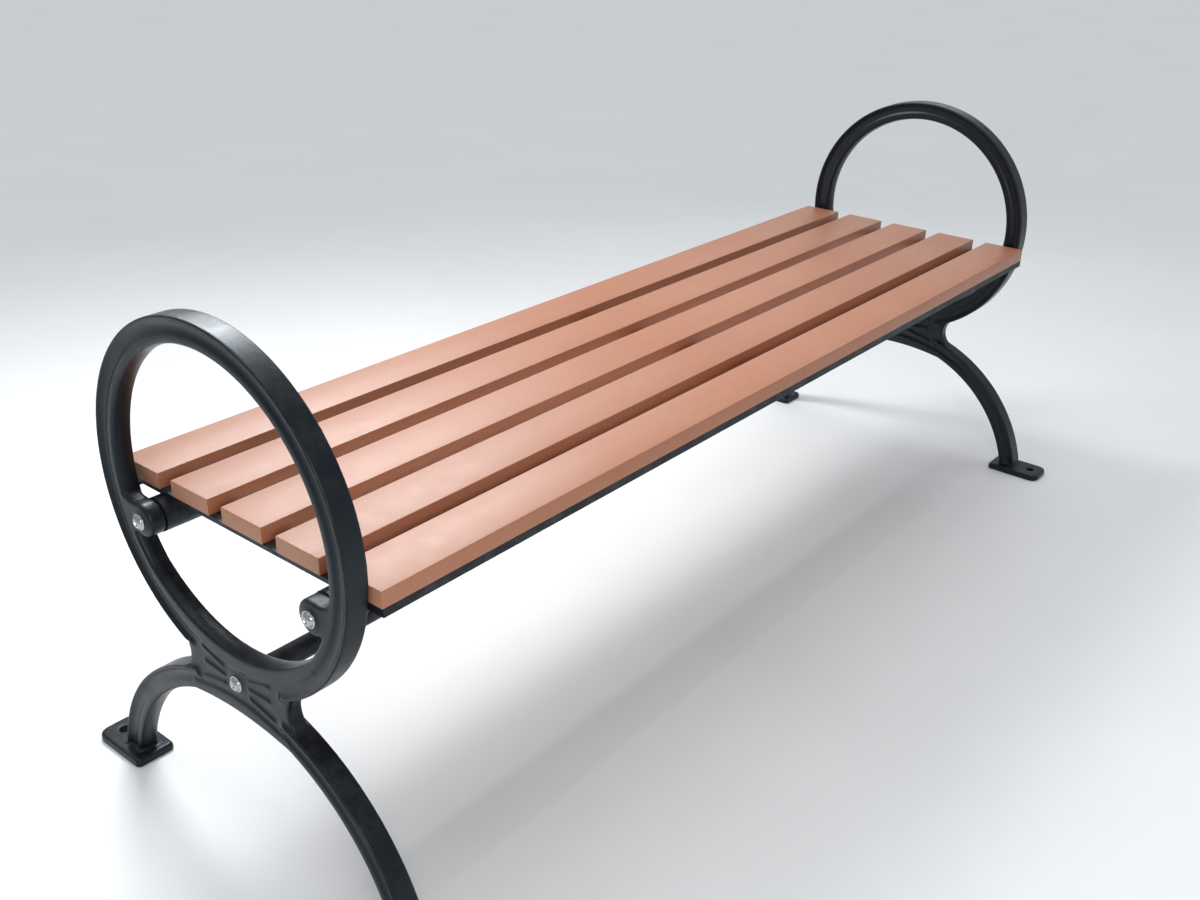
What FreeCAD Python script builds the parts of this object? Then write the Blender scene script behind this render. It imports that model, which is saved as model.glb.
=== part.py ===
import FreeCAD, Part
import math
import os
import re

import Sketcher
from FreeCAD import Placement, Rotation, Vector

# Backless bench: two cast end frames, each a round armrest ring standing on an arched pair of
# legs, three tubes bolted between them, and a slatted seat screwed to straps on the upper tubes.
# Frame: origin on the floor under the middle of the bench, +X along the slats, front at -Y, +Z up.

doc = FreeCAD.newDocument("backless_bench")
sheet = doc.addObject("Spreadsheet::Sheet", "Sizes")

SIZES = {
    # seat slats
    "seat_height": 437, "slat_length": 1530, "slat_width": 70, "slat_thick": 20.5,
    "slat_gap": 25, "slat_edge": 0.8, "pilot_radius": 2.3, "pilot_depth": 13,
    # seat frame under the slats
    "strap_width": 38, "strap_thick": 5.5, "strap_inset": 1, "bar_width": 25, "bar_thick": 10,
    "screw_pitch": 20, "screw_radius": 2.2, "screw_length": 17, "screw_head": 4.6,
    "screw_rise": 3, "clear_radius": 2.6,
    # cast section shared by ring and legs
    "frame_width": 29, "frame_gap": 5, "ring_radius": 214.5, "arch_radius": 282,
    "ring_rise": 16, "arch_sink": 47.4, "land": 3, "edge_round": 1.6, "cove_reach": 20.5,
    "cove_radius": 12, "bead_width": 24.6, "nose_width": 17, "nose_round": 4.2,
    "nose_rise": 4.1, "crown": 1.5, "section_depth": 30.5, "leg_sweep": 157.8,
    # swelling of the inner bead where ring and legs meet
    "ring_swell": 174, "ring_swell_radius": 206, "ring_swell_sweep": 84,
    "arch_swell": 244, "arch_swell_radius": 465, "arch_swell_sweep": 21.4, "swell_depth": 14,
    # junction of ring and legs
    "joint_drop": 200, "web_thick": 19.6, "web_reach": 100, "web_bury": 18,
    "notch_reach": 105, "notch_radius": 30, "ring_panel": 81, "arch_panel": 76,
    "boss_radius": 14, "boss_thick": 21.4, "rib_thick": 24, "rib_width": 4,
    "knob_radius": 9.5, "knob_reach": 81, "knob_line": 2, "bud_radius": 7.5,
    "bud_reach": 77, "bud_line": 9, "lump_thick": 27.6,
    # lugs that carry the seat tubes
    "lug_reach": 150.5, "lug_drop": 47.3, "lug_radius": 20.8, "lug_face": 12.2,
    "lug_thick": 21.5, "lug_root": 191, "lug_top": 19, "lug_foot": 72, "lug_shoulder": 80,
    "lug_heel": 55, "lug_hollow": 40, "lug_edge": 3.5, "seat_radius": 13, "seat_rise": 1,
    # feet
    "foot_inner": 230, "foot_outer": 327, "foot_width": 55, "foot_thick": 11,
    "toe_round": 14, "heel_round": 6, "foot_edge": 2.5, "anchor_reach": 304,
    "anchor_radius": 6.5,
    # tubes, end plugs and bolts
    "rail_radius": 21.2, "rail_wall": 2.9, "brace_radius": 13.45, "brace_wall": 2.6,
    "plug_length": 26, "fit_gap": 0.1, "bolt_radius": 5, "bolt_length": 40, "bore_radius": 5.5,
    "tapped_radius": 5.05, "head_radius": 10.2, "flange_thick": 1.6, "flange_edge": 0.6,
    "dome_radius": 8.4, "dome_rise": 5.6, "dome_flat": 4.4, "dome_curve": 6.4,
    "socket_radius": 3.46, "socket_depth": 3.4,
}
for row, (name, number) in enumerate(SIZES.items(), start=1):
    sheet.set(f"A{row}", name)
    sheet.set(f"B{row}", str(number))
    sheet.setAlias(f"B{row}", name)
doc.recompute()

RING_CENTRE = "(seat_height + ring_rise)"
ARCH_CENTRE = "(0 - arch_sink)"
MID_PLANE = "(slat_length / 2 + frame_gap + frame_width / 2)"
SLAT_PITCH = "(slat_width + slat_gap)"
LUG_HEIGHT = "(seat_height - lug_drop)"
JOINT_HEIGHT = "(seat_height - joint_drop)"
STRAP_TOP = "(seat_height - slat_thick)"
CROWN_RADIUS = "(nose_width * nose_width / 4 + crown * crown) / (2 * crown)"


def linked(text):
    """A size expression with each size name pointing at its cell of the sheet."""
    return re.sub(r"[a-z_]+", lambda word: "Sizes." + word.group()
                  if word.group() in SIZES else word.group(), str(text))


def bind(target, prop, text):
    target.setExpression(prop, linked(text))


def value(text):
    """The present value of a size expression."""
    number = sheet.evalExpression(linked(text))
    return float(getattr(number, "Value", number))


def place(target, x="0", y="0", z="0", turn=0):
    """Bind the position of a finished piece; turn is its rotation about the vertical."""
    target.Placement = Placement(Vector(0, 0, 0), Rotation(Vector(0, 0, 1), turn))
    for axis, text in zip("xyz", (x, y, z)):
        bind(target, f"Placement.Base.{axis}", text)


def new_body(label):
    body = doc.addObject("PartDesign::Body", label)
    body.Label = label
    return body


def new_sketch(body, plane, shift=("0", "0", "0")):
    """A sketch on one of the body's own origin planes, moved within it by three expressions."""
    sketch = body.newObject("Sketcher::SketchObject", f"{body.Name}_sketch")
    support = [f for f in body.Origin.OriginFeatures if f.Role == plane][0]
    sketch.AttachmentSupport = [(support, "")]
    sketch.MapMode = "FlatFace"
    for axis, text in zip("xyz", shift):
        bind(sketch, f"AttachmentOffset.Base.{axis}", text)
    return sketch


def hold(sketch, kind, numbers, text):
    """Add one dimension to a sketch and bind it."""
    index = sketch.addConstraint(Sketcher.Constraint(kind, *numbers, value(text)))
    bind(sketch, f"Constraints[{index}]", text)


def pin(sketch, geometry, point, x, y):
    hold(sketch, "DistanceX", (geometry, point), x)
    hold(sketch, "DistanceY", (geometry, point), y)


def add_circle(sketch, x, y, radius):
    circle = Part.Circle(Vector(value(x), value(y), 0), Vector(0, 0, 1), value(radius))
    index = sketch.addGeometry(circle, False)
    pin(sketch, index, 3, x, y)
    hold(sketch, "Radius", (index,), radius)


def arc_geometry(start, end, radius):
    """The short arc from start to end: a positive radius turns left, a negative one right."""
    chord = end - start
    left = Vector(-chord.y, chord.x, 0).normalize()
    rise = math.sqrt(max(radius * radius - chord.Length ** 2 / 4, 0))
    centre = (start + end) / 2 + left * math.copysign(rise, radius)
    first, last = (start, end) if radius > 0 else (end, start)
    angles = [math.atan2(p.y - centre.y, p.x - centre.x) for p in (first, last)]
    circle = Part.Circle(centre, Vector(0, 0, 1), abs(radius))
    return Part.ArcOfCircle(circle, angles[0], angles[1])


def add_outline(sketch, corners):
    """A closed outline of bound corners; a corner with a radius has an arc leading on from it.

    Corners run anticlockwise, so a positive radius is a convex arc and a negative one hollow.
    """
    points = [Vector(value(c[0]), value(c[1]), 0) for c in corners]
    first = sketch.GeometryCount
    ends = []
    for i, corner in enumerate(corners):
        start, end = points[i], points[(i + 1) % len(corners)]
        radius = value(corner[2]) if len(corner) == 3 else 0
        edge = arc_geometry(start, end, radius) if radius else Part.LineSegment(start, end)
        sketch.addGeometry(edge, False)
        ends.append((2, 1) if radius < 0 else (1, 2))
    for i, corner in enumerate(corners):
        after = (i + 1) % len(corners)
        sketch.addConstraint(Sketcher.Constraint(
            "Coincident", first + i, ends[i][1], first + after, ends[after][0]))
        pin(sketch, first + i, ends[i][0], corner[0], corner[1])
        if len(corner) == 3:
            hold(sketch, "Radius", (first + i,), corner[2].lstrip("-"))


def add_rectangle(sketch, x0, y0, x1, y1):
    add_outline(sketch, [(x0, y0), (x1, y0), (x1, y1), (x0, y1)])


def mirrored(corners):
    """The other half of a symmetrical outline, in the order that carries on from the first."""
    half = []
    for i in reversed(range(len(corners))):
        lead = tuple(corners[i - 1][2:]) if i else ()
        half.append((f"0 - ({corners[i][0]})", corners[i][1]) + lead)
    return half


def pad(body, sketch, length, midplane=False):
    feature = body.newObject("PartDesign::Pad", f"{body.Name}_pad")
    feature.Profile = sketch
    feature.Midplane = midplane
    bind(feature, "Length", length)
    doc.recompute()
    return feature


def pocket(body, sketch, length, midplane=False, flipped=False):
    """Cut a sketch into the body, and make sure that material came away."""
    before = body.Shape.Volume
    feature = body.newObject("PartDesign::Pocket", f"{body.Name}_pocket")
    feature.Profile = sketch
    feature.Midplane = midplane
    feature.Reversed = flipped
    bind(feature, "Length", length)
    doc.recompute()
    if body.Shape.Volume > before - 1:
        raise RuntimeError(f"{feature.Name} cut nothing")
    return feature


def revolve(body, sketch, angle, midplane=False):
    """Turn a sketch about its own horizontal axis."""
    feature = body.newObject("PartDesign::Revolution", f"{body.Name}_turn")
    feature.Profile = sketch
    feature.ReferenceAxis = (sketch, ["H_Axis"])
    feature.Midplane = midplane
    bind(feature, "Angle", angle)
    doc.recompute()
    return feature


def dress(body, kind, base, size, test):
    """Fillet or chamfer those edges of the last feature that pass the test."""
    feature = body.newObject(f"PartDesign::{kind}", f"{body.Name}_{kind.lower()}")
    names = [f"Edge{i}" for i, edge in enumerate(base.Shape.Edges, start=1) if test(edge)]
    feature.Base = (base, names)
    bind(feature, "Radius" if kind == "Fillet" else "Size", size)
    doc.recompute()
    return feature


# ---------------------------------------------------------------- cast end frames
# Built about the middle plane of one casting (x = 0) standing on the floor, outboard face at -x.

def add_section(sketch, radius):
    """Section of ring and legs: wide outer land, hollow cove each side, rounded inner bead."""
    inner = f"({radius} - section_depth)"
    right = [
        ("nose_width / 2", inner, "nose_round"),
        ("bead_width / 2", f"{inner} + nose_rise"),
        ("bead_width / 2", f"{radius} - cove_reach", "-cove_radius"),
        ("frame_width / 2", f"{radius} - land"),
        ("frame_width / 2", f"{radius} - edge_round", "edge_round"),
        ("frame_width / 2 - edge_round", radius),
    ]
    left = mirrored(right)
    left[-1] += (CROWN_RADIUS,)
    add_outline(sketch, right + left)


def on_ring(y, radius):
    """Height of the lower half of a circle about the ring's centre, at distance y."""
    return f"{RING_CENTRE} - sqrt(({radius})^2 - ({y})^2)"


def on_arch(y, radius):
    """Height of a circle about the arch's centre, at distance y."""
    return f"{ARCH_CENTRE} + sqrt(({radius})^2 - ({y})^2)"


def casting_core():
    body = new_body("casting_core")
    sketch = new_sketch(body, "YZ_Plane")
    arch, ring = "arch_radius - web_bury", "ring_radius - web_bury"
    right = [
        ("web_reach", on_arch("web_reach", arch)),
        ("notch_reach", on_arch("notch_reach", "arch_radius"), "-notch_radius"),
        ("notch_reach", on_ring("notch_reach", "ring_radius")),
        ("web_reach", on_ring("web_reach", ring), f"-({ring})"),
    ]
    left = mirrored(right)
    left[-1] += (f"-({arch})",)
    add_outline(sketch, right + left)
    pad(body, sketch, "web_thick", midplane=True)

    for centre, radius, sweep in ((RING_CENTRE, "ring_radius", "360"),
                                  (ARCH_CENTRE, "arch_radius", "leg_sweep")):
        sketch = new_sketch(body, "XZ_Plane", ("0", centre, "0"))
        add_section(sketch, radius)
        revolve(body, sketch, sweep, midplane=True)

    # The lands of ring and arch stop short of the middle and leave a sunk panel on both faces.
    for side in ("-", ""):
        sketch = new_sketch(body, "YZ_Plane", ("0", "0", f"{side}web_thick / 2"))
        arch, ring = "arch_radius - cove_reach", "ring_radius - cove_reach"
        right = [
            ("arch_panel", on_arch("arch_panel", arch)),
            ("ring_panel", on_ring("ring_panel", ring), f"-({ring})"),
        ]
        left = mirrored(right)
        left[-1] += (f"-({arch})",)
        add_outline(sketch, right + left)
        pocket(body, sketch, "frame_width", flipped=(side == ""))

    sketch = new_sketch(body, "YZ_Plane")
    add_circle(sketch, "0", JOINT_HEIGHT, "boss_radius")
    pad(body, sketch, "boss_thick", midplane=True)

    # Three ribs fan out from the bolt on each side: inner end, then outer end, from its centre.
    sketch = new_sketch(body, "YZ_Plane")
    for y0, z0, y1, z1 in ((24, 14, 60, 24), (24, 2, 58, 4), (23, -10, 64, -19)):
        long = math.hypot(y1 - y0, z1 - z0)
        out = ((y1 - y0) / long, (z1 - z0) / long)
        corners = []
        for y, z, side in ((y0, z0, -1), (y1, z1, -1), (y1, z1, 1), (y0, z0, 1)):
            corners.append((f"{y} + rib_width * {-side * out[1] / 2:.4f}",
                            f"{JOINT_HEIGHT} + {z} + rib_width * {side * out[0] / 2:.4f}"))
        add_outline(sketch, corners)
        add_outline(sketch, mirrored(corners))
    pad(body, sketch, "rib_thick", midplane=True)

    sketch = new_sketch(body, "YZ_Plane")
    add_circle(sketch, "0", JOINT_HEIGHT, "bore_radius")
    pocket(body, sketch, "2 * frame_width", midplane=True)
    return body


def casting_swell(name, centre, inner, sweep, side):
    """Crescent that thickens the inner bead, below its centre (-1) or above it (1)."""
    body = new_body(name)
    sketch = new_sketch(body, "XZ_Plane", ("0", centre, "0"))
    right = [
        ("nose_width / 2", inner, "nose_round"),
        ("bead_width / 2", f"{inner} + nose_rise"),
        ("bead_width / 2", f"{inner} + swell_depth"),
    ]
    left = mirrored(right)
    left[-1] += (CROWN_RADIUS,)
    add_outline(sketch, [(f"{side} * ({corner[0]})", f"{side} * ({corner[1]})") + corner[2:]
                         for corner in right + left])
    revolve(body, sketch, sweep, midplane=True)
    return body


def casting_lug():
    """Ear inside the ring, flush with its bead, that a seat tube is bolted to."""
    body = new_body("casting_lug")
    sketch = new_sketch(body, "YZ_Plane", ("0", "0", "-lug_face"))
    root = "sqrt(lug_root^2 - (ring_rise + {})^2)"
    add_outline(sketch, [
        ("lug_reach + lug_radius * cos(lug_heel)",
         f"{LUG_HEIGHT} - lug_radius * sin(lug_heel)"),
        (root.format("lug_foot"), "seat_height - lug_foot", "lug_root"),
        (root.format("lug_top"), "seat_height - lug_top", "-lug_hollow"),
        ("lug_reach + lug_radius * cos(lug_shoulder)",
         f"{LUG_HEIGHT} + lug_radius * sin(lug_shoulder)", "lug_radius"),
        ("lug_reach - lug_radius", LUG_HEIGHT, "lug_radius"),
    ])
    add_circle(sketch, "lug_reach", LUG_HEIGHT, "bore_radius")
    block = pad(body, sketch, "lug_thick")

    def outer_edge(edge):
        box = edge.BoundBox
        hidden = (value("lug_root"), value("bore_radius"))
        round_edge = hasattr(edge.Curve, "Radius")
        return box.XLength < 0.01 and not (round_edge and edge.Curve.Radius in hidden)

    dress(body, "Fillet", block, "lug_edge", outer_edge)
    sketch = new_sketch(body, "YZ_Plane", ("0", "0", "-lug_face - seat_rise"))
    add_circle(sketch, "lug_reach", LUG_HEIGHT, "seat_radius")
    add_circle(sketch, "lug_reach", LUG_HEIGHT, "bore_radius")
    pad(body, sketch, "2 * seat_rise")
    return body


def casting_foot():
    """Plate under one leg with the hole for a ground anchor."""
    body = new_body("casting_foot")
    sketch = new_sketch(body, "XY_Plane")
    side = "foot_width / 2"
    right = [
        (f"{side} - heel_round", "foot_inner", "heel_round"),
        (side, "foot_inner + heel_round"),
        (side, "foot_outer - toe_round", "toe_round"),
        (f"{side} - toe_round", "foot_outer"),
    ]
    add_outline(sketch, right + mirrored(right))
    add_circle(sketch, "0", "anchor_reach", "anchor_radius")
    plate = pad(body, sketch, "foot_thick")

    def top_rim(edge):
        middle = edge.BoundBox.Center
        hole = abs(middle.y - value("anchor_reach")) < 0.1 and abs(middle.x) < 0.1
        return edge.BoundBox.ZMin > value("foot_thick") - 0.1 and not hole

    dress(body, "Fillet", plate, "foot_edge", top_rim)
    return body


def casting_lump(label, radius, y, z):
    """Rounded lump that ends a land beside the sunk panel and shows on both faces."""
    lump = doc.addObject("Part::Ellipsoid", label)
    lump.Label = label
    lump.Placement = Placement(Vector(0, 0, 0), Rotation(Vector(0, 1, 0), 90))
    bind(lump, "Radius1", "lump_thick / 2")
    bind(lump, "Radius2", radius)
    bind(lump, "Radius3", radius)
    bind(lump, "Placement.Base.y", y)
    bind(lump, "Placement.Base.z", z)
    return lump


casting = [
    casting_core(),
    casting_swell("casting_ring_swell", f"({RING_CENTRE} - ring_swell + ring_swell_radius)",
                  "ring_swell_radius", "ring_swell_sweep", -1),
    casting_swell("casting_arch_swell", f"({ARCH_CENTRE} + arch_swell - arch_swell_radius)",
                  "arch_swell_radius", "arch_swell_sweep", 1),
]
for piece in (
        casting_lug(),
        casting_foot(),
        casting_lump("casting_knob", "knob_radius", "knob_reach",
                     on_ring("knob_reach", "ring_radius - knob_line")),
        casting_lump("casting_bud", "bud_radius", "bud_reach",
                     on_arch("bud_reach", "arch_radius - bud_line"))):
    twin = doc.addObject("Part::Mirroring", f"{piece.Name}_front")
    twin.Source = piece
    twin.Normal = Vector(0, 1, 0)
    casting += [piece, twin]

finished = []
for name, sign, turn in (("end_frame_left", "-", 0), ("end_frame_right", "", 180)):
    frame = doc.addObject("Part::MultiFuse", name)
    frame.Label = name
    frame.Shapes = casting
    place(frame, x=f"{sign}{MID_PLANE}", turn=turn)
    finished.append(frame)


# ---------------------------------------------------------------- seat

STRAPS = {
    "left": "(strap_inset + strap_width / 2 - slat_length / 2)",
    "centre": "0",
    "right": "(slat_length / 2 - strap_inset - strap_width / 2)",
}
SLATS = {"front": -2, "mid_front": -1, "centre": 0, "mid_back": 1, "back": 2}


def make_slat(name, step):
    body = new_body(f"slat_{name}")
    sketch = new_sketch(body, "XY_Plane")
    half_x, half_y = "slat_length / 2", "slat_width / 2"
    add_rectangle(sketch, f"-{half_x}", f"-{half_y}", half_x, half_y)
    board = pad(body, sketch, "slat_thick")
    dress(body, "Chamfer", board, "slat_edge", lambda edge: True)
    sketch = new_sketch(body, "XY_Plane")
    for strap in STRAPS.values():
        for side in ("-", "+"):
            add_circle(sketch, f"{strap} {side} screw_pitch / 2", "0", "pilot_radius")
    pocket(body, sketch, "pilot_depth", flipped=True)
    place(body, y=f"{step} * {SLAT_PITCH}", z=STRAP_TOP)
    return body


def make_strap(name, x):
    """Flat strap across the seat, between the two edge bars."""
    body = new_body(f"cross_strap_{name}")
    sketch = new_sketch(body, "XY_Plane")
    half_x, half_y = "strap_width / 2", f"(2.5 * {SLAT_PITCH} - slat_gap / 2 - bar_width)"
    add_rectangle(sketch, f"-{half_x}", f"fit_gap - {half_y}", half_x, f"{half_y} - fit_gap")
    for step in SLATS.values():
        for side in ("-", ""):
            add_circle(sketch, f"{side}screw_pitch / 2", f"{step} * {SLAT_PITCH}",
                       "clear_radius")
    pad(body, sketch, "strap_thick")
    place(body, x=x, z=f"{STRAP_TOP} - strap_thick")
    return body


def make_edge_bar(name, sign):
    """Flat bar that stiffens the outer slat and closes the ends of the straps."""
    body = new_body(f"edge_bar_{name}")
    sketch = new_sketch(body, "XY_Plane")
    half_x, half_y = "(slat_length / 2 - strap_inset)", "bar_width / 2"
    add_rectangle(sketch, f"-{half_x}", f"-{half_y}", half_x, half_y)
    pad(body, sketch, "bar_thick")
    place(body, y=f"{sign}(2.5 * {SLAT_PITCH} - slat_gap / 2 - bar_width / 2)",
          z=f"{STRAP_TOP} - bar_thick")
    return body


def make_screws(name, x):
    """The ten pan-head screws of one strap, as separate solids of one piece."""
    head = Part.makeCylinder(value("screw_head"), value("screw_rise"))
    head = head.makeFillet(value("screw_rise") * 0.6, [head.Edges[2]])
    shank = Part.makeCylinder(value("screw_radius"), value("screw_length"),
                              Vector(0, 0, value("screw_rise")))
    screw = head.fuse(shank).removeSplitter()
    copies = []
    for step in SLATS.values():
        for side in (-0.5, 0.5):
            spot = Vector(side * value("screw_pitch"), step * value(SLAT_PITCH), 0)
            copies.append(screw.translated(spot))
    group = doc.addObject("Part::Feature", f"slat_screws_{name}")
    group.Label = f"slat_screws_{name}"
    group.Shape = Part.makeCompound(copies)
    place(group, x=x, z=f"{STRAP_TOP} - strap_thick - screw_rise")
    return group


for name, step in SLATS.items():
    finished.append(make_slat(name, step))
for name, x in STRAPS.items():
    finished.append(make_strap(name, x))
    finished.append(make_screws(name, x))
for name, sign in (("front", "-"), ("back", "")):
    finished.append(make_edge_bar(name, sign))


# ---------------------------------------------------------------- tubes, plugs and bolts

def make_tube(label, radius, wall, face, y, z):
    """Tube between the two castings; face is how far in from the middle plane it starts."""
    body = new_body(label)
    sketch = new_sketch(body, "YZ_Plane")
    add_circle(sketch, "0", "0", radius)
    add_circle(sketch, "0", "0", f"{radius} - {wall}")
    pad(body, sketch, f"2 * ({MID_PLANE} - {face} - fit_gap)", midplane=True)
    place(body, y=y, z=z)
    return body


def make_plug(label, radius, wall, x, y, z, turn):
    """Tapped plug set into the end of a tube."""
    body = new_body(label)
    sketch = new_sketch(body, "YZ_Plane")
    add_circle(sketch, "0", "0", f"{radius} - {wall} - fit_gap")
    add_circle(sketch, "0", "0", "tapped_radius")
    pad(body, sketch, "plug_length")
    place(body, x, y, z, turn)
    return body


def make_bolt(label, x, y, z, turn):
    """Flanged button-head bolt with a hexagon socket, head towards -x before it is turned."""
    body = new_body(label)
    sketch = new_sketch(body, "XY_Plane")
    add_outline(sketch, [
        ("-dome_rise", "0"),
        ("bolt_length", "0"),
        ("bolt_length", "bolt_radius"),
        ("0", "bolt_radius"),
        ("0", "head_radius"),
        ("flange_edge - flange_thick", "head_radius"),
        ("-flange_thick", "head_radius - flange_edge"),
        ("-flange_thick", "dome_radius", "dome_curve"),
        ("-dome_rise", "dome_flat"),
    ])
    revolve(body, sketch, "360")
    sketch = new_sketch(body, "YZ_Plane", ("0", "0", "-dome_rise"))
    add_outline(sketch, [(f"socket_radius * cos({angle})", f"socket_radius * sin({angle})")
                         for angle in range(0, 360, 60)])
    pocket(body, sketch, "socket_depth", flipped=True)
    place(body, x, y, z, turn)
    return body


RUNS = (
    ("seat_tube_front", "rail_radius", "rail_wall", "-lug_reach", LUG_HEIGHT,
     "(lug_thick - lug_face)", "(lug_face + seat_rise)"),
    ("seat_tube_back", "rail_radius", "rail_wall", "lug_reach", LUG_HEIGHT,
     "(lug_thick - lug_face)", "(lug_face + seat_rise)"),
    ("stretcher_tube", "brace_radius", "brace_wall", "0", JOINT_HEIGHT,
     "(boss_thick / 2)", "(boss_thick / 2)"),
)
for label, radius, wall, y, z, inboard, outboard in RUNS:
    finished.append(make_tube(label, radius, wall, inboard, y, z))
    stem = label.replace("_tube", "")
    for side, sign, turn in (("left", "-", 0), ("right", "", 180)):
        start = f"{sign}({MID_PLANE} - {inboard} - fit_gap)"
        finished.append(make_plug(f"{stem}_plug_{side}", radius, wall, start, y, z, turn))
        start = f"{sign}({MID_PLANE} + {outboard})"
        finished.append(make_bolt(f"{stem}_bolt_{side}", start, y, z, turn))

doc.recompute()
for thing in doc.Objects:
    if {"Invalid", "Error"} & set(thing.State):
        raise RuntimeError(f"{thing.Label}: {thing.State}")

os.makedirs("parts", exist_ok=True)
for piece in finished:
    if piece.Shape.isNull() or not piece.Shape.isValid():
        raise RuntimeError(f"{piece.Label} has no valid shape")
    piece.Shape.exportStep(f"parts/{piece.Label}.step")
    box = piece.Shape.BoundBox
    print(f"{piece.Label}: {len(piece.Shape.Solids)} solid, {piece.Shape.Volume:.0f} mm3, "
          f"x {box.XMin:.1f} {box.XMax:.1f}  y {box.YMin:.1f} {box.YMax:.1f}  "
          f"z {box.ZMin:.1f} {box.ZMax:.1f}")
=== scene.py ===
import math

import bmesh
import bpy
import numpy as np
from mathutils import Matrix, Vector


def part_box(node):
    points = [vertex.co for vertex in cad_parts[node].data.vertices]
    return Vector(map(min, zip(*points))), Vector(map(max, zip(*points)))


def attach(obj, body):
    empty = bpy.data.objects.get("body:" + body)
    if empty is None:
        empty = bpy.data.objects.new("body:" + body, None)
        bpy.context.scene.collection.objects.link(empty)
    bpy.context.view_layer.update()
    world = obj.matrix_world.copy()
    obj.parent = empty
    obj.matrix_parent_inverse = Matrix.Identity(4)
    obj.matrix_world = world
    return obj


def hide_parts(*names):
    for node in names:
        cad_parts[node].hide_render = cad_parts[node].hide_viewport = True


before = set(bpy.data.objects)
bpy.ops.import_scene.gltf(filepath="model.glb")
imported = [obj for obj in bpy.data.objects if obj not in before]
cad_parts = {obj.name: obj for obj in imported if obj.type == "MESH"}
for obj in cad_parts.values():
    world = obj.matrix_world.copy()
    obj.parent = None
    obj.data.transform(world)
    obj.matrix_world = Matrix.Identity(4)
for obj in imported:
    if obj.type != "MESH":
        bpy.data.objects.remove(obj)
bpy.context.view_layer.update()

# Backless bench: finer meshes for the two cast end frames, the bolts and the boards, and a finish
# for every piece. Metres, in the row frame: +X along the boards, front at -Y, +Z up, floor at 0.

scene = bpy.context.scene


# ---------------------------------------------------------------- materials

# linear colours, as red, green and blue
BOARD_FACE = (0.43, 0.150, 0.063)
BOARD_STREAK = (0.31, 0.095, 0.036)
BOARD_CHALK = (0.55, 0.30, 0.19)
DUST, RUBBED = (0.32, 0.31, 0.29, 1), (0.10, 0.105, 0.11, 1)


class Nodes:
    """A new material's node tree, with one short call per node."""

    def __init__(self, name):
        self.material = bpy.data.materials.new(name)
        self.material.use_nodes = True
        self.tree = self.material.node_tree
        self.shader = self.tree.nodes["Principled BSDF"]
        self.place = self.add("ShaderNodeTexCoord").outputs["Object"]

    def add(self, kind, links=None, **props):
        node = self.tree.nodes.new(kind)
        for key, setting in props.items():
            setattr(node, key, setting)
        for key, source in (links or {}).items():
            self.feed(node.inputs[key], source)
        return node

    def feed(self, socket, source):
        if isinstance(source, bpy.types.NodeSocket):
            self.tree.links.new(source, socket)
        else:
            socket.default_value = source

    def shade(self, **inputs):
        for key, source in inputs.items():
            self.feed(self.shader.inputs[key.replace("_", " ")], source)

    def stretch(self, x, y, z):
        return self.add("ShaderNodeMapping",
                        {"Vector": self.place, "Scale": (x, y, z)}).outputs["Vector"]

    def noise(self, scale, detail=4, rough=0.5, vector=None):
        links = {"Vector": vector or self.place, "Scale": scale,
                 "Detail": detail, "Roughness": rough}
        return self.add("ShaderNodeTexNoise", links).outputs["Fac"]

    def spread(self, source, low, high, to_low=0.0, to_high=1.0):
        links = {"Value": source, "From Min": low, "From Max": high,
                 "To Min": to_low, "To Max": to_high}
        return self.add("ShaderNodeMapRange", links).outputs["Result"]

    def maths(self, operation, a, b):
        return self.add("ShaderNodeMath", {0: a, 1: b}, operation=operation).outputs[0]

    def mix(self, factor, a, b, blend="MIX"):
        node = self.add("ShaderNodeMix", {0: factor, 6: a, 7: b},
                        data_type="RGBA", blend_type=blend)
        return node.outputs[2]

    def bump(self, height, strength, distance, below=None):
        links = {"Height": height, "Strength": strength, "Distance": distance}
        if below:
            links["Normal"] = below
        return self.add("ShaderNodeBump", links).outputs["Normal"]


def coat_material(name, base, pale, grain, pitting, sheen):
    """Black powder coat: orange peel, pores of the casting below, dust on top, rubbed edges."""
    n = Nodes(name)
    normal = n.add("ShaderNodeSeparateXYZ",
                   {0: n.add("ShaderNodeNewGeometry").outputs["Normal"]}).outputs["Z"]
    patches = n.spread(n.noise(7, 5, 0.6), 0.35, 0.7)
    colour = n.mix(patches, base, pale)
    dust = n.maths("MULTIPLY", n.spread(normal, 0.25, 1.0),
                   n.spread(n.noise(38, 6, 0.7), 0.42, 0.75))
    colour = n.mix(n.maths("MULTIPLY", dust, 0.10), colour, DUST)
    edge = n.add("ShaderNodeNewGeometry").outputs["Pointiness"]
    rubbed = n.maths("MULTIPLY", n.spread(edge, 0.515, 0.56), n.spread(n.noise(60, 4), 0.45, 0.7))
    colour = n.mix(n.maths("MULTIPLY", rubbed, 0.25), colour, RUBBED)
    rough = n.spread(n.noise(22, 5, 0.6), 0.3, 0.7, sheen - 0.06, sheen + 0.08)
    rough = n.maths("ADD", rough, n.maths("MULTIPLY", dust, 0.12))
    cast = n.bump(n.noise(grain, 3, 0.55), 0.35, pitting)
    peel = n.bump(n.noise(950, 2, 0.5), 0.22, 0.0004, cast)
    n.shade(Base_Color=colour, Roughness=rough, Normal=peel, IOR=1.40,
            Specular_Tint=(0.8, 0.92, 1.0, 1))
    return n.material


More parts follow.
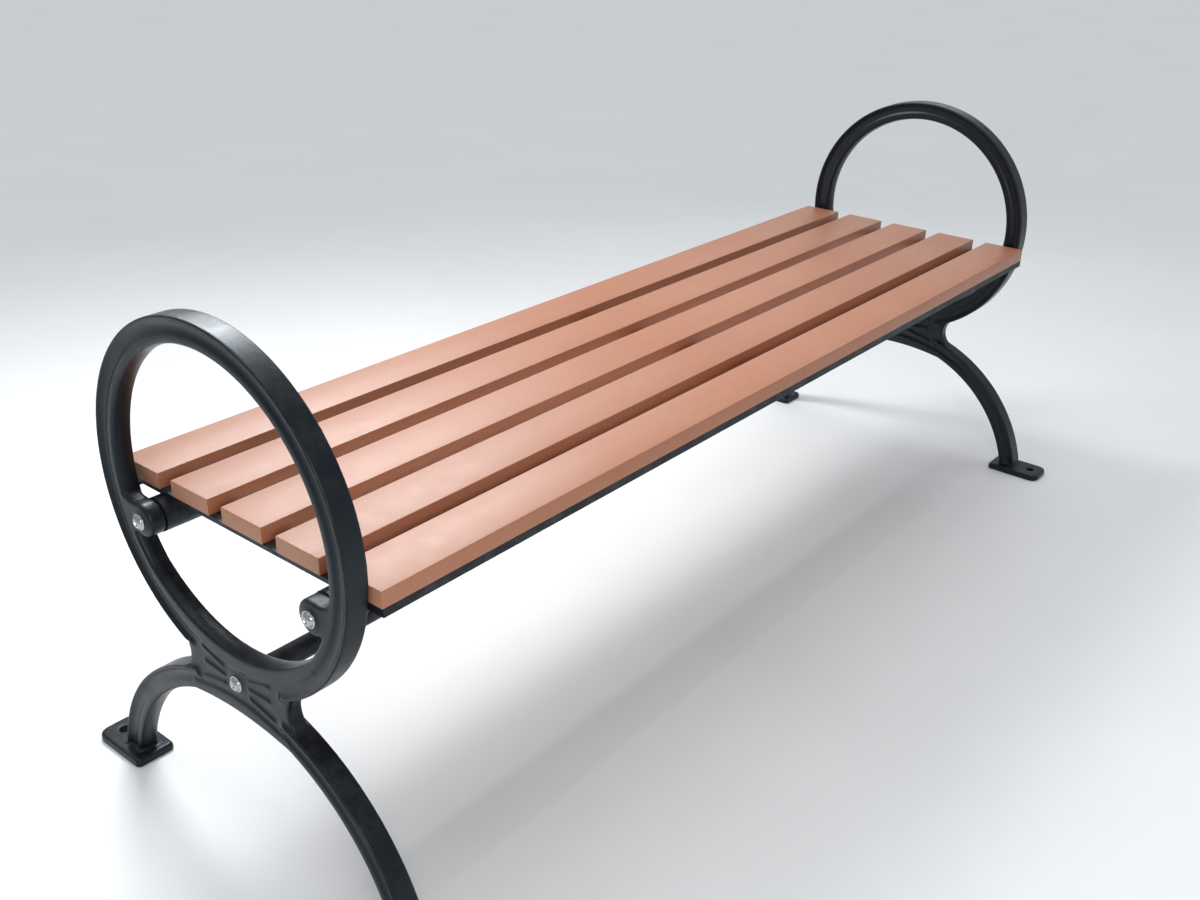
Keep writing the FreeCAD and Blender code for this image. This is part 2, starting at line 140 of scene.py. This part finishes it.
def board_material(name, row_shade):
    """Terracotta composite board: fine specks, faint streaks along the board, sawn ends."""
    n = Nodes(name)
    # every colour of the board is scaled by its row's painted shade, lighter at the front and
    # darker at the back
    base, deep, chalk = ([c * row_shade for c in colour] + [1]
                         for colour in (BOARD_FACE, BOARD_STREAK, BOARD_CHALK))
    streaks = n.spread(n.noise(1, 5, 0.65, n.stretch(1.6, 90, 90)), 0.3, 0.75)
    cloud = n.spread(n.noise(3.2, 4, 0.6), 0.35, 0.7)
    colour = n.mix(n.maths("MULTIPLY", streaks, 0.35), base, deep)
    colour = n.mix(n.maths("MULTIPLY", cloud, 0.22), colour, chalk)
    specks = n.noise(620, 3, 0.75)
    colour = n.mix(n.maths("MULTIPLY", n.spread(specks, 0.56, 0.68), 0.5), colour, deep)
    colour = n.mix(n.maths("MULTIPLY", n.spread(specks, 0.44, 0.34), 0.38), colour, chalk)
    face = n.add("ShaderNodeNewGeometry").outputs["Normal"]
    sawn = n.spread(n.maths("ABSOLUTE", n.add("ShaderNodeSeparateXYZ", {0: face}).outputs["X"], 0),
                    0.6, 0.95)
    colour = n.mix(n.maths("MULTIPLY", sawn, 0.45), colour, chalk)
    rough = n.spread(n.noise(45, 5, 0.6), 0.3, 0.7, 0.46, 0.54)
    rough = n.maths("ADD", rough, n.maths("MULTIPLY", sawn, 0.2))
    soft = n.bump(n.noise(1, 3, 0.6, n.stretch(8, 300, 300)), 0.18, 0.0006)
    grain = n.bump(n.noise(1500, 3, 0.6), 0.25, 0.00035, soft)
    n.shade(Base_Color=colour, Roughness=rough, Normal=grain, IOR=1.5,
            Coat_Weight=0.6, Coat_Roughness=0.54)
    return n.material


def steel_material(name, colour, low, high, scratch):
    """Bare stainless or plain steel: fine brushed scratches and faint stains."""
    n = Nodes(name)
    stain = n.spread(n.noise(180, 4, 0.6), 0.4, 0.7)
    dull = [c * 0.72 for c in colour[:3]] + [1]
    tint = n.mix(n.maths("MULTIPLY", stain, 0.5), colour, dull)
    brushed = n.noise(900, 2, 0.5)
    n.shade(Base_Color=tint, Metallic=1.0, Normal=n.bump(brushed, scratch, 0.00002),
            Roughness=n.spread(n.noise(420, 3), 0.3, 0.7, low, high))
    return n.material


def floor_material():
    """Pale painted floor with a faint mottle."""
    n = Nodes("floor")
    tone = n.mix(n.spread(n.noise(2.5, 5, 0.6), 0.3, 0.7),
                 (0.89, 0.89, 0.885, 1), (0.92, 0.92, 0.915, 1))
    n.shade(Base_Color=tone, Roughness=0.75, Normal=n.bump(n.noise(60, 6, 0.7), 0.04, 0.001))
    return n.material


CAST = coat_material("cast_powder_coat", (0.004, 0.0056, 0.0088, 1),
                     (0.0065, 0.0088, 0.013, 1), 520, 0.0005, 0.34)
COAT = coat_material("steel_powder_coat", (0.005, 0.0063, 0.009, 1),
                     (0.0075, 0.009, 0.0125, 1), 420, 0.0004, 0.45)
STAINLESS = steel_material("stainless", (0.52, 0.51, 0.50, 1), 0.14, 0.26, 0.06)
PLAIN = steel_material("plain_steel", (0.42, 0.42, 0.42, 1), 0.35, 0.55, 0.3)
HIDDEN_BOARD = board_material("board_under", 1.0)
# how much lighter or darker each board is painted than the average: painted shade, darker towards
# the back, standing in for light that falls off across the seat
PAINTED_ROW_SHADE = {"front": 1.02, "mid_front": 0.98, "centre": 0.98, "mid_back": 0.93, "back": 0.89}


def finish_of(node):
    """The material of a CAD node, from its name."""
    if node.startswith("slat_screws") or "_bolt_" in node:
        return STAINLESS
    if node.startswith("slat_"):
        return HIDDEN_BOARD
    if "_plug_" in node:
        return PLAIN
    return CAST if node.startswith("end_frame") else COAT


def dress(piece, material):
    """One material all over a piece."""
    piece.data.materials.clear()
    piece.data.materials.append(material)


for name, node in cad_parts.items():
    dress(node, finish_of(name))


# ---------------------------------------------------------------- mesh tools (millimetres)

MM = 0.001


def traced(corners, step=0.26):
    """Points round a closed outline; a corner with a radius has an arc leading on from it.

    Corners run anticlockwise; a positive radius is a convex arc, a negative one hollow.
    """
    points = []
    for i, corner in enumerate(corners):
        start, end = Vector(corner[:2]), Vector(corners[(i + 1) % len(corners)][:2])
        points.append(start)
        if len(corner) < 3:
            continue
        radius, chord = corner[2], end - start
        left = Vector((-chord.y, chord.x)).normalized()
        rise = math.sqrt(max(radius ** 2 - chord.length_squared / 4, 0))
        centre = (start + end) / 2 + left * math.copysign(rise, radius)
        first = math.atan2(start.y - centre.y, start.x - centre.x)
        turn = math.atan2(end.y - centre.y, end.x - centre.x) - first
        turn = turn % math.tau if radius > 0 else turn % math.tau - math.tau
        count = max(2, math.ceil(abs(turn) / step))
        for k in range(1, count):
            angle = first + turn * k / count
            points.append(centre + abs(radius) * Vector((math.cos(angle), math.sin(angle))))
    return points


def with_mirror(right, closing=()):
    """Both halves of an outline that is the same either side of its first number's zero."""
    left = [(-right[i][0], right[i][1]) + (tuple(right[i - 1][2:]) if i else tuple(closing))
            for i in reversed(range(len(right)))]
    return right + left


def skin(work, rings, closed):
    """Quads between rings of points; an open run gets a cap at each end."""
    rows = [[work.verts.new(point) for point in ring] for ring in rings]
    count = len(rows[0])
    for i in range(len(rows) if closed else len(rows) - 1):
        here, there = rows[i], rows[(i + 1) % len(rows)]
        for j in range(count):
            work.faces.new((here[j], here[(j + 1) % count], there[(j + 1) % count], there[j]))
    if not closed:
        work.faces.new(reversed(rows[0]))
        work.faces.new(rows[-1])


def sweep(work, points, centre, start, stop, steps, limit=None):
    """Carry a section (across, radius) round an axis along X; angles run from the top.

    limit gives the most that the outer face may stand off the middle plane at an angle.
    """
    closed = abs(stop - start) > 359
    cove = max(r for _, r in points) - COVE_REACH
    rings = []
    for k in range(steps if closed else steps + 1):
        degrees = start + (stop - start) * k / steps
        most = limit(degrees) if limit else math.inf
        angle = math.radians(degrees)
        rings.append([(max(-most, min(most, x)) if r > cove + 0.1 else x,
                       r * math.sin(angle), centre + r * math.cos(angle)) for x, r in points])
    skin(work, rings, closed)


def prism(work, outline, x0, x1):
    """An outline in (y, z) carried along X."""
    skin(work, [[(x, y, z) for y, z in traced(outline)] for x in (x0, x1)], False)


def ball(work, centre, across, radius):
    """Ellipsoid: its half width along X, and its radius in the other two directions."""
    shape = Matrix.Translation(centre) @ Matrix.Diagonal((across, radius, radius, 1))
    bmesh.ops.create_icosphere(work, subdivisions=4, radius=1, matrix=shape)


def disc(work, y, z, radius, x0, x1):
    """Cylinder along X."""
    skin(work, [[(x, y + radius * math.cos(t), z + radius * math.sin(t))
                 for t in [math.tau * k / 64 for k in range(64)]] for x in (x0, x1)], False)


def finished_mesh(work, name):
    """The bmesh as a mesh, with its normals outward."""
    bmesh.ops.recalc_face_normals(work, faces=work.faces)
    mesh = bpy.data.meshes.new(name)
    work.to_mesh(mesh)
    work.free()
    return mesh


def applied(mesh, kind, **settings):
    """The mesh with one modifier applied."""
    holder = bpy.data.objects.new("holder", mesh)
    scene.collection.objects.link(holder)
    modifier = holder.modifiers.new("step", kind)
    for key, setting in settings.items():
        setattr(modifier, key, setting)
    graph = bpy.context.evaluated_depsgraph_get()
    result = bpy.data.meshes.new_from_object(holder.evaluated_get(graph))
    bpy.data.objects.remove(holder)
    return result


def relax(mesh, rounds, weight):
    """Even a mesh out: each vertex moves towards its neighbours by its own weight."""
    count = len(mesh.vertices)
    at = np.empty(count * 3, np.float32)
    mesh.vertices.foreach_get("co", at)
    at = at.reshape(-1, 3).astype(float)
    ends = np.empty(len(mesh.edges) * 2, np.int32)
    mesh.edges.foreach_get("vertices", ends)
    a, b = ends.reshape(-1, 2).T
    valence = np.bincount(ends, minlength=count)[:, None]
    share = weight(at)[:, None]
    for _ in range(rounds):
        around = np.stack([np.bincount(a, at[b, i], count) + np.bincount(b, at[a, i], count)
                           for i in range(3)], axis=1) / valence
        at += share * (around - at)
    mesh.vertices.foreach_set("co", at.astype(np.float32).ravel())
    mesh.update()


def add_piece(name, mesh, material, nodes, place=Matrix()):
    """A smooth-shaded piece that stands for CAD nodes and rides with the bench."""
    piece = bpy.data.objects.new(name, mesh)
    scene.collection.objects.link(piece)
    piece.matrix_world = place
    mesh.shade_smooth()
    dress(piece, material)
    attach(piece, "root")
    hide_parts(*nodes)
    return piece


# ---------------------------------------------------------------- cast end frames

left_low, left_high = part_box("end_frame_left")
MID_PLANE = (left_low.x + left_high.x) / -2 / MM
RING_RADIUS, ARCH_RADIUS, DEPTH, COVE_REACH = 214.5, 282, 30.5, 20.5
RING_CENTRE = left_high.z / MM - RING_RADIUS
ARCH_CENTRE = -47.4
JOINT_HEIGHT = sum(corner.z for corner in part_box("stretcher_tube")) / 2 / MM
LUG_REACH = sum(corner.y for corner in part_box("seat_tube_back")) / 2 / MM
LUG_HEIGHT = sum(corner.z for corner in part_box("seat_tube_back")) / 2 / MM
NOSE, BEAD, LAND, CROWN = 8.5, 12.3, 14.5, 24.8
NOSE_ROUND, NOSE_RISE, COVE, LAND_DEPTH, EDGE = 4.2, 4.1, -12, 3, 1.6
LEG_SWEEP = 78.9
# the inner bead swells near the junction: radius, rise of the centre, half sweep
RING_SWELL, ARCH_SWELL, SWELL_DEPTH = (206, 32, 42), (465, -221, 10.7), 14
# the panels either side of the junction: half sweeps in ring and arch, half thicknesses
RING_PANEL, ARCH_PANEL, WEB, BOSS, RIB = 23.3, 16.3, 9.8, 10.7, 12.6
WEB_REACH, WEB_BURY, NOTCH_REACH, NOTCH = 100, 18, 105, 30
# each rib's inner and outer end, from the junction's centre
RIBS = ((24, 14, 60, 24), (24, 2, 58, 4), (23, -10, 64, -19))
KNOB_REACH, KNOB, BUD_REACH, BUD, LUMP = 81, 9.5, 77, 7.5, 13.8
LUG, LUG_FOOT, LUG_TOP = 20.8, (169.5, 365, 191), (187.8, 418, -40)
LUG_HEEL, LUG_SHOULDER = math.radians(55), math.radians(80)
FOOT_WIDTH, FOOT_INNER, FOOT_OUTER, ANCHOR, ANCHOR_RADIUS = 55, 230, 327, 304, 6.5
VOXEL = 0.0013


def ring_line(y, radius):
    """Height of the lower half of a circle about the ring's centre."""
    return RING_CENTRE - math.sqrt(radius ** 2 - y ** 2)


def arch_line(y, radius):
    """Height of a circle about the arch's centre."""
    return ARCH_CENTRE + math.sqrt(radius ** 2 - y ** 2)


def full_section(radius):
    """Section of the ring and the legs, as (across, radius): bead, cove and outer land."""
    inner = radius - DEPTH
    return traced(with_mirror([
        (NOSE, inner, NOSE_ROUND), (BEAD, inner + NOSE_RISE), (BEAD, radius - COVE_REACH, COVE),
        (LAND, radius - LAND_DEPTH), (LAND, radius - EDGE, EDGE), (LAND - EDGE, radius)],
        (CROWN,)))


def bead_section(inner):
    """Section of the inner bead alone."""
    return traced(with_mirror([(NOSE, inner, NOSE_ROUND), (BEAD, inner + NOSE_RISE),
                               (BEAD, inner + SWELL_DEPTH)], (CROWN,)))


def sunk(middle, half, ease=1.3):
    """Limit on the section's half width: down to the web inside a panel, free outside it."""
    def limit(degrees):
        off = abs((degrees - middle + 180) % 360 - 180)
        share = max(0.0, min(1.0, (off - half) / ease + 0.5))
        return WEB + (LAND - WEB) * share * share * (3 - 2 * share)
    return limit


def add_plate(work, side):
    """Foot plate with its anchor hole, for the front (-1) or the back (1)."""
    plate = bmesh.new()
    half, heel, toe = FOOT_WIDTH / 2, 6, 14
    outline = traced(with_mirror([
        (half - heel, FOOT_INNER, heel), (half, FOOT_INNER + heel),
        (half, FOOT_OUTER - toe, toe), (half - toe, FOOT_OUTER)]))
    # height of each level and how far its edge stands in
    levels = [(0, 0.0), (7.5, 0.0), (9.6, 0.7), (10.6, 1.6), (11, 2.9)]
    centre = 279
    rings = [[((1 - inset / half) * x, centre + (1 - inset / 48.5) * (y - centre), z)
              for x, y in outline] for z, inset in levels]
    skin(plate, rings, False)
    hole = bmesh.new()
    bmesh.ops.create_cone(hole, cap_ends=True, segments=48, radius1=ANCHOR_RADIUS,
                          radius2=ANCHOR_RADIUS, depth=40,
                          matrix=Matrix.Translation((0, ANCHOR, 0)))
    cutter = bpy.data.objects.new("cutter", finished_mesh(hole, "cutter"))
    scene.collection.objects.link(cutter)
    drilled = applied(finished_mesh(plate, "plate"), "BOOLEAN", object=cutter,
                      operation="DIFFERENCE", solver="EXACT")
    bpy.data.objects.remove(cutter)
    drilled.transform(Matrix.Diagonal((1, side, 1, 1)))
    work.from_mesh(drilled)


def add_junction(work):
    """Web between the ring and the arched legs, with its boss."""
    prism(work, with_mirror([
        (WEB_REACH, arch_line(WEB_REACH, ARCH_RADIUS - WEB_BURY)),
        (NOTCH_REACH, arch_line(NOTCH_REACH, ARCH_RADIUS), -NOTCH),
        (NOTCH_REACH, ring_line(NOTCH_REACH, RING_RADIUS)),
        (WEB_REACH, ring_line(WEB_REACH, RING_RADIUS - WEB_BURY), WEB_BURY - RING_RADIUS)],
        (WEB_BURY - ARCH_RADIUS,)), -WEB, WEB)
    disc(work, 0, JOINT_HEIGHT, 14, -BOSS, BOSS)


def add_ribs(work, side):
    """Three ribs on one side of the boss, and the knob and bud beyond them."""
    half_width = 2.2
    for y0, z0, y1, z1 in RIBS:
        inner = Vector((side * y0, JOINT_HEIGHT + z0))
        outer = Vector((side * y1, JOINT_HEIGHT + z1))
        across = (outer - inner).normalized().orthogonal() * -half_width
        prism(work, [(*(inner + across),), (*(outer + across), half_width),
                     (*(outer - across),), (*(inner - across), half_width)], -RIB, RIB)
    ball(work, (0, side * KNOB_REACH, ring_line(KNOB_REACH, RING_RADIUS - 2)), LUMP, KNOB)
    ball(work, (0, side * BUD_REACH, arch_line(BUD_REACH, ARCH_RADIUS - 9)), LUMP, BUD)


def add_lug(work, side):
    """Ear inside the ring that a seat tube is bolted to, with soft edges on both faces."""
    outline = traced([
        (LUG_REACH + LUG * math.cos(LUG_HEEL), LUG_HEIGHT - LUG * math.sin(LUG_HEEL)),
        LUG_FOOT, LUG_TOP,
        (LUG_REACH + LUG * math.cos(LUG_SHOULDER), LUG_HEIGHT + LUG * math.sin(LUG_SHOULDER),
         LUG),
        (LUG_REACH - LUG, LUG_HEIGHT, LUG)])
    # distance from the middle plane, and how far the edge stands in there
    levels = [(-12.2, 3.4), (-11.1, 1.4), (-9.6, 0.3), (-8.2, 0), (5.6, 0), (6.9, 0.3),
              (8.4, 1.4), (9.3, 3.4)]
    middle, reach = Vector((LUG_REACH + 12, LUG_HEIGHT + 6)), 22
    skin(work, [[(x, side * (middle.x + (1 - inset / reach) * (p.x - middle.x)),
                  middle.y + (1 - inset / reach) * (p.y - middle.y)) for p in outline]
                for x, inset in levels], False)
    disc(work, side * LUG_REACH, LUG_HEIGHT, 13, -13.2, -11.2)


def cast_frame():
    """The whole casting about its own middle plane, remeshed into one soft-edged skin."""
    work = bmesh.new()
    sweep(work, full_section(RING_RADIUS), RING_CENTRE, 0, 360, 360, sunk(180, RING_PANEL))
    sweep(work, full_section(ARCH_RADIUS), ARCH_CENTRE, -LEG_SWEEP, LEG_SWEEP, 200,
          sunk(0, ARCH_PANEL))
    radius, rise, half = RING_SWELL
    sweep(work, bead_section(radius), RING_CENTRE + rise, 180 - half, 180 + half, 80)
    radius, rise, half = ARCH_SWELL
    sweep(work, bead_section(radius), ARCH_CENTRE + rise, -half, half, 60)
    add_junction(work)
    for side in (-1, 1):
        add_ribs(work, side)
        add_lug(work, side)
        add_plate(work, side)
    bmesh.ops.scale(work, vec=(MM, MM, MM), verts=work.verts)
    mesh = applied(finished_mesh(work, "cast_frame"), "REMESH", mode="VOXEL",
                   voxel_size=VOXEL, adaptivity=0)
    relax(mesh, 4, lambda at: np.full(len(at), 0.5))
    relax(mesh, 8, near_joint)
    return mesh


def near_joint(at):
    """Extra softness for the junction, and for the ankles just above the foot plates."""
    reach = np.hypot(at[:, 1] / 0.115, (at[:, 2] - JOINT_HEIGHT * MM) / 0.05)
    ankle = (at[:, 2] > 0.0085) & (at[:, 2] < 0.022)
    return 0.5 * np.clip(1.6 - reach, 0, 1) + 0.4 * ankle


frame_mesh = cast_frame()
add_piece("cast_frame_left", frame_mesh, CAST, ["end_frame_left"],
          Matrix.Translation((-MID_PLANE * MM, 0, 0)))
add_piece("cast_frame_right", frame_mesh, CAST, ["end_frame_right"],
          Matrix.Translation((MID_PLANE * MM, 0, 0)) @ Matrix.Rotation(math.pi, 4, "Z"))


# ---------------------------------------------------------------- bolts

BOLT_LENGTH, SHANK, HEAD, FLANGE = 40, 5, 10.2, 1.6
DOME, DOME_RISE, DOME_FLAT, DOME_CURVE = 8.4, 5.6, 4.4, 6.4
SOCKET, SOCKET_DEPTH = 3.46, 3.4


def socket_radius(angle, corner):
    """Distance from a hexagon's middle to its side, at an angle from one of its corners."""
    sixth = math.radians(60)
    return corner * math.cos(sixth / 2) / math.cos(angle % sixth - sixth / 2)


def add_bolt(place, side):
    """Flanged button-head bolt with a hexagon socket; side is -1 for the left end."""
    node = f"{place}_bolt_{'left' if side < 0 else 'right'}"
    low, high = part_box(node)
    middle = (low + high) / 2 / MM
    seat = (low.x if side < 0 else high.x) / MM - side * DOME_RISE
    turns = [math.tau * k / 72 for k in range(72)]

    def ring(along, radius):
        return [(seat - side * along, middle.y + radius(t) * math.cos(t),
                 middle.z + radius(t) * math.sin(t)) for t in turns]

    # shank, flange and dome, as (along, radius) from the face that the head seats on
    profile = traced([(BOLT_LENGTH, SHANK - 0.6), (BOLT_LENGTH - 0.6, SHANK), (0.1, SHANK),
                      (0, SHANK + 0.1), (0, HEAD - 0.2), (-0.15, HEAD), (-0.95, HEAD),
                      (-1.2, HEAD - 0.2), (-1.5, HEAD - 0.5), (-FLANGE, HEAD - 0.7),
                      (-FLANGE, DOME, DOME_CURVE), (-DOME_RISE, DOME_FLAT)], 0.1)
    rings = [ring(along, lambda t, r=radius: r) for along, radius in profile]
    for along, corner in ((-DOME_RISE, SOCKET + 0.35), (-DOME_RISE + 0.05, SOCKET + 0.12),
                          (-DOME_RISE + 0.2, SOCKET), (-DOME_RISE + SOCKET_DEPTH, SOCKET)):
        rings.append(ring(along, lambda t, c=corner: socket_radius(t, c)))
    work = bmesh.new()
    skin(work, rings, False)
    bmesh.ops.scale(work, vec=(MM, MM, MM), verts=work.verts)
    add_piece("head_" + node, finished_mesh(work, node), STAINLESS, [node])


for place in ("seat_front", "seat_back", "stretcher"):
    for side in (-1, 1):
        add_bolt(place, side)


# ---------------------------------------------------------------- boards

ARRIS = 0.0009


def add_board(name, node, material):
    """A planed board with its arrises just broken."""
    low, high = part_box(node)
    work = bmesh.new()
    bmesh.ops.create_cube(work, size=1, matrix=Matrix.Translation((low + high) / 2)
                          @ Matrix.Diagonal((*(high - low), 1)))
    bmesh.ops.bevel(work, geom=work.edges[:], offset=ARRIS, segments=3, profile=0.5,
                    affect="EDGES", clamp_overlap=True)
    add_piece(name, finished_mesh(work, name), material, [node])


# one copy of the board material per board, each with the painted shade of its row
for place, row_shade in PAINTED_ROW_SHADE.items():
    add_board("board_" + place, "slat_" + place, board_material("board_" + place, row_shade))


# ---------------------------------------------------------------- floor, light and camera

def make_floor():
    """Plain floor, wide enough to fill the view."""
    mesh = bpy.data.meshes.new("floor")
    work = bmesh.new()
    bmesh.ops.create_grid(work, x_segments=8, y_segments=8, size=14)
    work.to_mesh(mesh)
    work.free()
    floor = bpy.data.objects.new("floor", mesh)
    scene.collection.objects.link(floor)
    dress(floor, floor_material())


def add_softbox(name, spot, target, width, height, radiance, colour):
    """An area light of even radiance, facing a target."""
    light = bpy.data.lights.new(name, "AREA")
    light.shape = "RECTANGLE"
    light.size, light.size_y = width, height
    light.energy = radiance * math.pi * width * height
    light.color = colour
    lamp = bpy.data.objects.new(name, light)
    lamp.location = spot
    lamp.rotation_euler = (Vector(target) - Vector(spot)).to_track_quat("-Z", "Y").to_euler()
    lamp.visible_camera = False
    scene.collection.objects.link(lamp)


# strengths of the surrounding light and the sun, then radiances of the soft boxes
WORLD, SUN, FILL, BACK, PANE = 0.48, 0.75, 11, 0.9, 23


def light_studio():
    """Pale surroundings, a wide overhead sun and three soft boxes."""
    world = bpy.data.worlds.new("studio")
    world.use_nodes = True
    background = world.node_tree.nodes["Background"]
    background.inputs["Color"].default_value = (0.86, 0.93, 1.0, 1)
    background.inputs["Strength"].default_value = WORLD
    scene.world = world
    sun = bpy.data.lights.new("overhead", "SUN")
    sun.energy, sun.angle, sun.color = SUN, math.radians(50), (1.0, 0.99, 0.98)
    lamp = bpy.data.objects.new("overhead", sun)
    lamp.rotation_euler = Vector((0.1, 0.2, 0.97)).to_track_quat("Z", "Y").to_euler()
    scene.collection.objects.link(lamp)
    add_softbox("fill", (-1.75, -1.75, 1.35), (-0.6, 0, 0.4), 0.6, 0.6, FILL, (1.0, 0.98, 0.96))
    add_softbox("pane", (0.0, 0.98, 1.57), (-0.7, 0, 0.45), 0.8, 0.45, PANE, (0.95, 0.98, 1.0))
    add_softbox("bounce", (1.9, 0.67, 1.3), (0.0, -0.2, 0.43), 1.2, 0.8, BACK, (1.0, 0.98, 0.96))



def place_camera():
    """The photograph's camera: where it stands, and how it is turned, tipped and rolled."""
    spot, lens = (-1.4276, -1.0352, 1.0911), 37.63
    azimuth, tip, roll = 0.8858, 0.4517, 0.0179
    ahead = Vector((math.sin(azimuth) * math.cos(tip), math.cos(azimuth) * math.cos(tip),
                    -math.sin(tip)))
    right = Vector((math.cos(azimuth), -math.sin(azimuth), 0))
    up = right.cross(ahead)
    across = math.cos(roll) * right + math.sin(roll) * up
    above = math.cos(roll) * up - math.sin(roll) * right
    data = bpy.data.cameras.new("camera")
    data.lens, data.sensor_width = lens, 36
    data.clip_start, data.clip_end = 0.05, 100
    camera = bpy.data.objects.new("camera", data)
    turn = Matrix((across, above, -ahead)).transposed().to_4x4()
    camera.matrix_world = Matrix.Translation(spot) @ turn
    scene.collection.objects.link(camera)
    scene.camera = camera


make_floor()
light_studio()
place_camera()
scene.view_settings.view_transform = "Standard"
